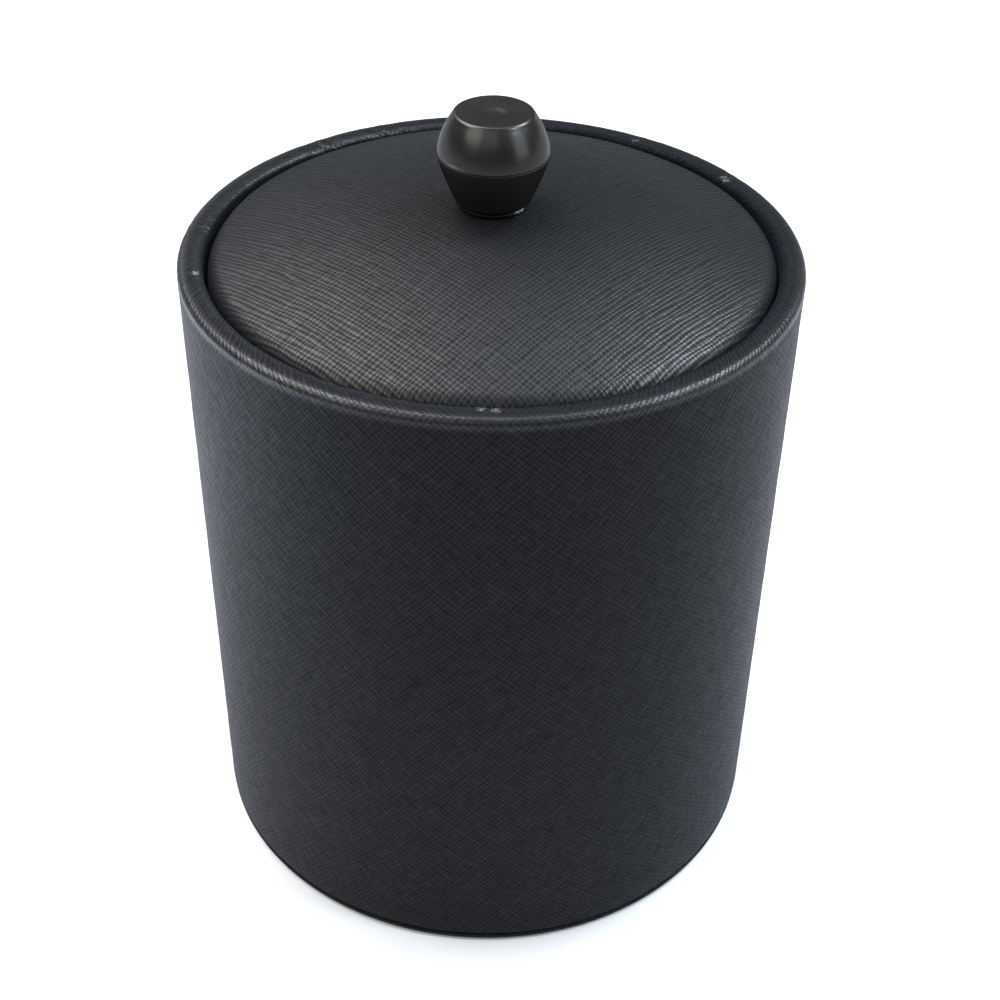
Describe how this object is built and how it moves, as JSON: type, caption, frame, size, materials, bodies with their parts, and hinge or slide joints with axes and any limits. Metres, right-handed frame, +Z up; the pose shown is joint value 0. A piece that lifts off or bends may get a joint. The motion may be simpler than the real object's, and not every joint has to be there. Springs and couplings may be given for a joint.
{
  "type": "ice bucket",
  "caption": "Cylindrical ice bucket wrapped in cross-hatched black leatherette, with a lift-out liner and a padded, domed lift-off lid with a turned knob.",
  "frame": {"origin": "middle of the underside, on the surface the bucket stands on", "axes": "+Z up along the bucket's axis of revolution"},
  "size_m": [0.19, 0.19, 0.2541],
  "materials": {
    "body_leatherette": "semi-matt, fine cross-hatched emboss",
    "lid_leatherette": "semi-matt, fine cross-hatched emboss, stretched over foam",
    "board": "raw fibreboard",
    "black_board": "black paper-faced fibreboard",
    "foam": "rigid foam",
    "dark_foam": "closed-cell foam",
    "felt": "short-nap felt",
    "liner_plastic": "satin moulded plastic",
    "knob_gloss": "semi-gloss, gunmetal sheen",
    "knob_matt": "matt",
    "steel": "plated",
    "brass": "machined"
  },
  "bodies": {
    "body": {"base_pad": "felt", "base_plate": "body_leatherette", "base_board": "board", "outer_shell": "board", "inner_shell": "black_board", "side_cover": "body_leatherette", "rim_ring": "board", "ledge_ring": "black_board", "insulation_sleeve": "foam", "insulation_disc": "dark_foam"},
    "liner": {"liner": "liner_plastic"},
    "lid": {"lid_cover": "lid_leatherette", "lid_padding": "foam", "lid_board": "board", "lid_plug": "board", "plug_cover": "lid_leatherette", "knob_washer": "steel", "knob_base": "knob_matt", "knob_cap": "knob_gloss", "knob_insert": "brass", "knob_screw": "steel", "screw_washer": "steel"}
  },
  "joints": [
    {"name": "liner_lift", "type": "slide", "parent": "body", "child": "liner", "axis": [0, 0, 1], "range_m": [0, 0.22]},
    {"name": "lid_lift", "type": "slide", "parent": "liner", "child": "lid", "axis": [0, 0, 1], "range_m": [0, 0.12]}
  ]
}
